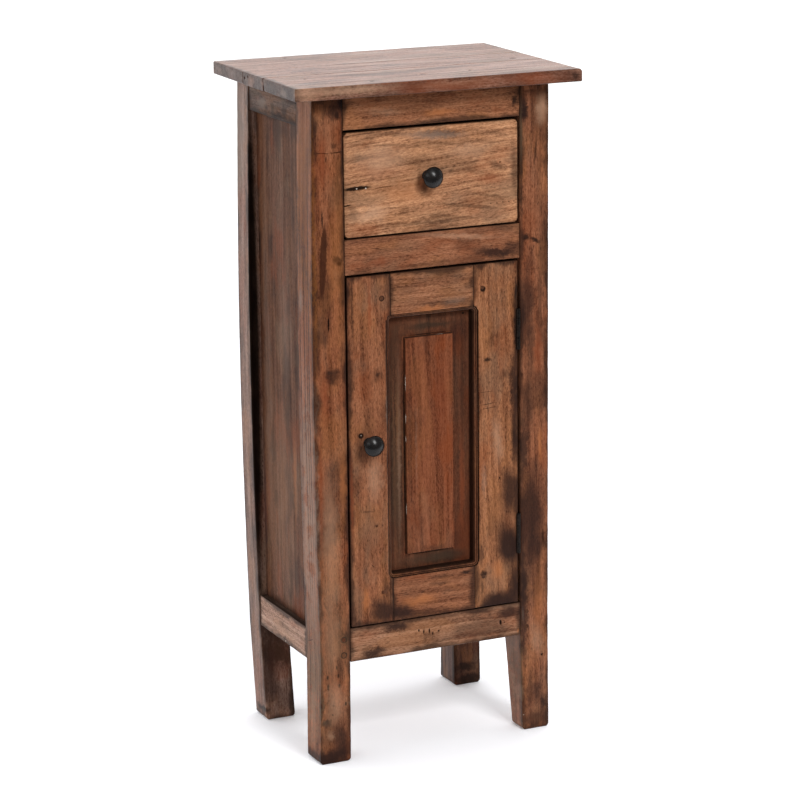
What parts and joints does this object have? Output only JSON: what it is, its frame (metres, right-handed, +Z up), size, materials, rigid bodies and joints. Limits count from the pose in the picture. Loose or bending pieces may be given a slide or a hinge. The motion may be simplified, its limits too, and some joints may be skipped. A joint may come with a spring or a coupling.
{
  "type": "telephone table",
  "caption": "Tall narrow telephone table in old teak: wide board top, a drawer over a panelled door, and posts that run down as legs.",
  "frame": {"origin": "on the floor, under the middle of the top", "axes": "+X to the right seen from the front, +Y from the front into the depth, +Z up"},
  "size_m": [0.4036, 0.3012, 0.9],
  "materials": {
    "teak_top": "satin",
    "teak_frame": "satin",
    "teak_sides": "satin",
    "teak_inside": "matt",
    "teak_drawer_front": "satin",
    "teak_door": "satin",
    "teak_door_panel": "satin",
    "dark_turned_knob": "gloss",
    "dark_hinge_steel": "dulled",
    "steel_fixings": "satin",
    "catch_case": "matt"
  },
  "bodies": {
    "frame": {"top_front_board": "teak_top", "top_middle_board": "teak_top", "top_back_board": "teak_top", "front_left_post": "teak_frame", "front_right_post": "teak_frame", "back_left_post": "teak_frame", "back_right_post": "teak_frame", "front_top_rail": "teak_frame", "front_middle_rail": "teak_frame", "front_bottom_rail": "teak_frame", "left_top_rail": "teak_frame", "left_bottom_rail": "teak_frame", "right_top_rail": "teak_frame", "right_bottom_rail": "teak_frame", "back_top_rail": "teak_frame", "back_bottom_rail": "teak_frame", "frame_pegs": "teak_frame", "left_side_panel": "teak_sides", "right_side_panel": "teak_sides", "back_panel": "teak_sides", "cabinet_floor": "teak_inside", "left_floor_cleat": "teak_inside", "right_floor_cleat": "teak_inside", "left_runner": "teak_inside", "right_runner": "teak_inside", "left_kicker": "teak_inside", "right_kicker": "teak_inside", "left_top_cleat": "teak_inside", "right_top_cleat": "teak_inside", "drawer_stops": "teak_inside", "upper_hinge_post_leaf": "dark_hinge_steel", "lower_hinge_post_leaf": "dark_hinge_steel", "upper_hinge_pin": "dark_hinge_steel", "lower_hinge_pin": "dark_hinge_steel", "runner_screws": "steel_fixings", "top_screws": "steel_fixings", "hinge_post_screws": "steel_fixings", "catch_screws": "steel_fixings", "catch_magnet": "catch_case"},
    "drawer": {"drawer_front": "teak_drawer_front", "drawer_left_side": "teak_inside", "drawer_right_side": "teak_inside", "drawer_back": "teak_inside", "drawer_bottom": "teak_inside", "drawer_nails": "steel_fixings", "drawer_knob": "dark_turned_knob", "drawer_knob_screw": "steel_fixings"},
    "door": {"door_left_stile": "teak_door", "door_right_stile": "teak_door", "door_top_rail": "teak_door", "door_bottom_rail": "teak_door", "door_panel": "teak_door_panel", "door_pegs": "teak_door", "door_knob": "dark_turned_knob", "door_knob_screw": "steel_fixings", "upper_hinge_door_leaf": "dark_hinge_steel", "lower_hinge_door_leaf": "dark_hinge_steel", "hinge_door_screws": "steel_fixings", "catch_strike": "dark_hinge_steel", "strike_screw": "steel_fixings"}
  },
  "joints": [
    {"name": "drawer_slide", "type": "slide", "parent": "frame", "child": "drawer", "axis": [0, -1, 0], "range_m": [0, 0.16]},
    {"name": "door_hinge", "type": "hinge", "parent": "frame", "child": "door", "pos_m": [0.1218, -0.11, 0.4], "axis": [0, 0, 1], "range_deg": [0, 165]}
  ]
}
